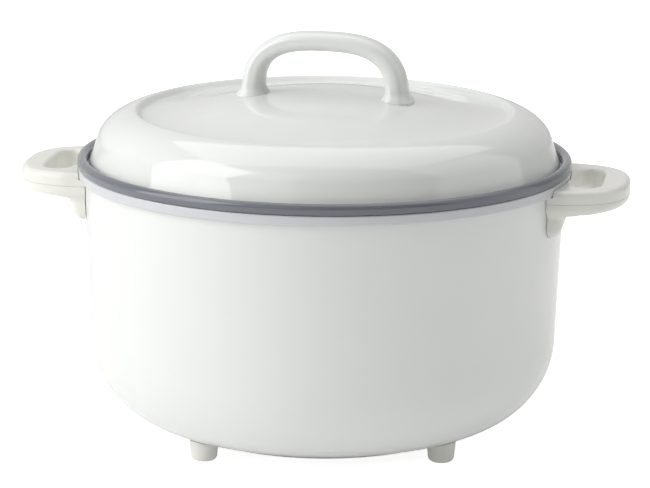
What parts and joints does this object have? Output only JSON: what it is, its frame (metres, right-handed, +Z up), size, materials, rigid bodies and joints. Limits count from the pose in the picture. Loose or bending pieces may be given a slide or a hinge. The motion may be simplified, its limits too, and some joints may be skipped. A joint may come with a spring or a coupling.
{
  "type": "enamel cooking pot",
  "caption": "Insulated enamel cooking pot: a double-walled shell on small feet with loop side handles, a lift-out inner pot and a domed lift-off lid with an arch handle.",
  "frame": {"origin": "on the surface that the pot stands on, straight under its axis", "axes": "+Z up along the pot's axis, +X towards the right side handle, -Y towards the viewer of the picture"},
  "size_m": [0.3224, 0.2604, 0.215],
  "materials": {
    "white_enamel": "glossy warm white vitreous enamel on steel",
    "lid_enamel": "glossy white vitreous enamel on steel",
    "grey_enamel": "glossy dark blue-grey enamel on steel",
    "collar_plastic": "satin pale bluish white moulding",
    "handle_plastic": "satin warm white phenolic moulding",
    "base_plastic": "matte light grey moulding",
    "aluminium": "plain drawn sheet",
    "glass_wool": "felted glass wool",
    "steel": "zinc-plated steel"
  },
  "bodies": {
    "shell": {"base_plate": "base_plastic", "base_plate_screw_1": "steel", "base_plate_screw_2": "steel", "base_plate_screw_3": "steel", "base_plate_screw_4": "steel", "collar_ring": "collar_plastic", "foot_front_left": "handle_plastic", "foot_front_right": "handle_plastic", "foot_rear_left": "handle_plastic", "foot_rear_right": "handle_plastic", "foot_screw_1": "steel", "foot_screw_2": "steel", "foot_screw_3": "steel", "foot_screw_4": "steel", "inner_liner": "aluminium", "insulation_pad": "glass_wool", "insulation_wrap": "glass_wool", "left_handle_bracket": "steel", "left_handle_joining_screw_1": "steel", "left_handle_joining_screw_2": "steel", "left_handle_lower": "handle_plastic", "left_handle_mount_screw_1": "steel", "left_handle_mount_screw_2": "steel", "left_handle_upper": "handle_plastic", "liner_screw_1": "steel", "liner_screw_2": "steel", "liner_screw_3": "steel", "liner_screw_4": "steel", "outer_shell": "white_enamel", "right_handle_bracket": "steel", "right_handle_joining_screw_1": "steel", "right_handle_joining_screw_2": "steel", "right_handle_lower": "handle_plastic", "right_handle_mount_screw_1": "steel", "right_handle_mount_screw_2": "steel", "right_handle_upper": "handle_plastic"},
    "inner_pot": {"inner_pot": "grey_enamel"},
    "lid": {"lid_shell": "lid_enamel", "lid_handle": "lid_enamel"}
  },
  "joints": [
    {"name": "inner_pot_lift", "type": "slide", "parent": "shell", "child": "inner_pot", "axis": [0, 0, 1], "range_m": [0, 0.16]},
    {"name": "lid_lift", "type": "slide", "parent": "inner_pot", "child": "lid", "axis": [0, 0, 1], "range_m": [0, 0.12]}
  ]
}
